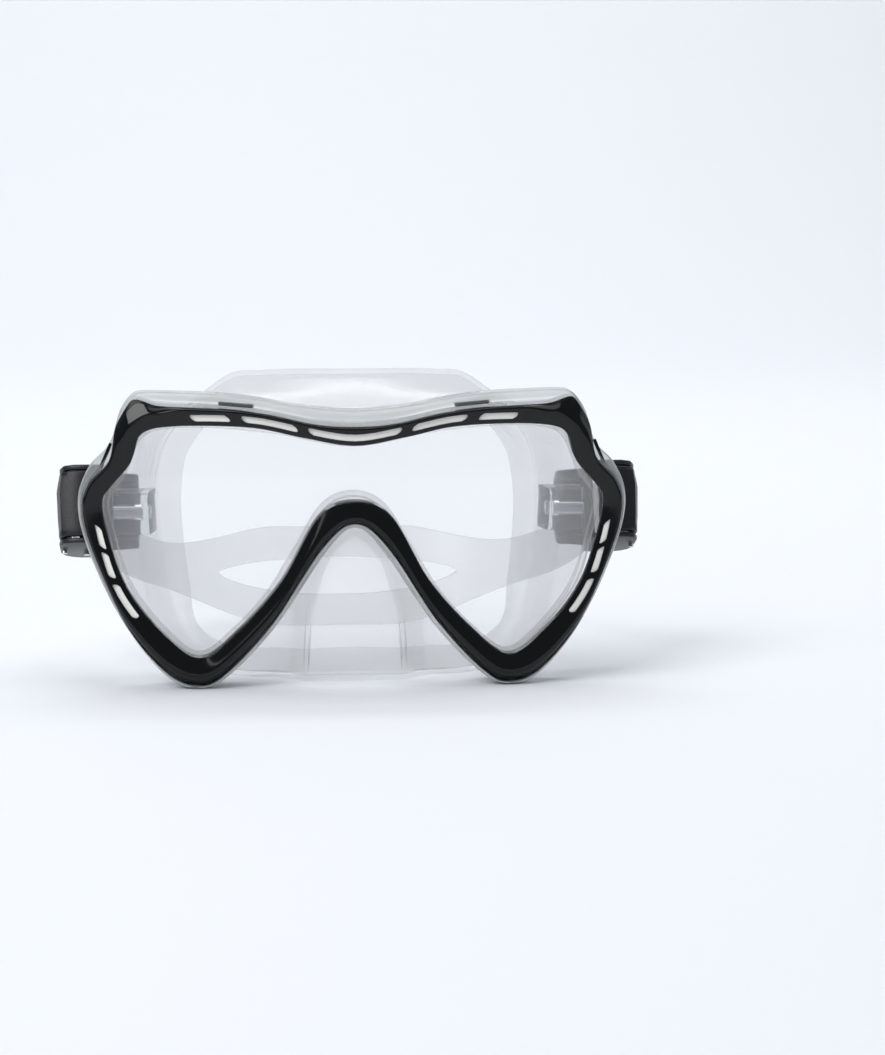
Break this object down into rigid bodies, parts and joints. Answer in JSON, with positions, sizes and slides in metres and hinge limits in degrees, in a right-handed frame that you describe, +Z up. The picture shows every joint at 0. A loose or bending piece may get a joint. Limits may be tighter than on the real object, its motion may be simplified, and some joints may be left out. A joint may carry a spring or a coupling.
{
  "type": "snorkel mask",
  "caption": "Single-lens diving mask with a clear rim, black bezel, silicone skirt with nose pocket, and a split silicone head strap on swivelling buckles.",
  "frame": {"origin": "bottom centre of the box around the whole mask with its strap, on the surface that the mask stands on", "axes": "+X across the face towards the wearer's left, +Y from the lens towards the wearer, +Z up"},
  "size_m": [0.188, 0.134, 0.0962],
  "materials": {
    "bezel_black": "gloss",
    "frame_clear": "clear gloss",
    "lens_glass": "polished",
    "skirt_silicone": "frosted",
    "strap_silicone": "frosted",
    "anchor_clear": "clear gloss",
    "buckle_plastic": "satin",
    "lever_plastic": "satin",
    "roller_plastic": "satin",
    "pin_steel": "satin",
    "spring_steel": "satin"
  },
  "bodies": {
    "mask": {"front_bezel": "bezel_black", "clear_frame": "frame_clear", "lens": "lens_glass", "face_skirt": "skirt_silicone", "buckle_anchor_right": "anchor_clear", "swivel_pin_right": "pin_steel", "buckle_anchor_left": "anchor_clear", "swivel_pin_left": "pin_steel"},
    "harness": {"head_strap": "strap_silicone", "buckle_body_right": "buckle_plastic", "roller_pin_right": "pin_steel", "lever_pin_right": "pin_steel", "lever_spring_right": "spring_steel", "buckle_body_left": "buckle_plastic", "roller_pin_left": "pin_steel", "lever_pin_left": "pin_steel", "lever_spring_left": "spring_steel"},
    "lever_right": {"release_lever_right": "lever_plastic"},
    "roller_right": {"strap_roller_right": "roller_plastic"},
    "lever_left": {"release_lever_left": "lever_plastic"},
    "roller_left": {"strap_roller_left": "roller_plastic"}
  },
  "joints": [
    {"name": "strap_swing", "type": "hinge", "parent": "mask", "child": "harness", "pos_m": [0, -0.02498, 0.0515], "axis": [1, 0, 0], "range_deg": [0, 115]},
    {"name": "lever_press_right", "type": "hinge", "parent": "harness", "child": "lever_right", "pos_m": [0.0915, -0.02591, 0.05188], "axis": [0, -0.3787, -0.9255], "range_deg": [0, 10], "stiffness_Nm_per_rad": 0.02, "springref_deg": -5.73},
    {"name": "roller_spin_right", "type": "hinge", "parent": "harness", "child": "roller_right", "pos_m": [0.0845, -0.02369, 0.05097], "axis": [0, 0.3787, 0.9255], "continuous": true},
    {"name": "lever_press_left", "type": "hinge", "parent": "harness", "child": "lever_left", "pos_m": [-0.0915, -0.02591, 0.05188], "axis": [0, 0.3787, 0.9255], "range_deg": [0, 10], "stiffness_Nm_per_rad": 0.02, "springref_deg": -5.73},
    {"name": "roller_spin_left", "type": "hinge", "parent": "harness", "child": "roller_left", "pos_m": [-0.0845, -0.02369, 0.05097], "axis": [0, 0.3787, 0.9255], "continuous": true}
  ]
}
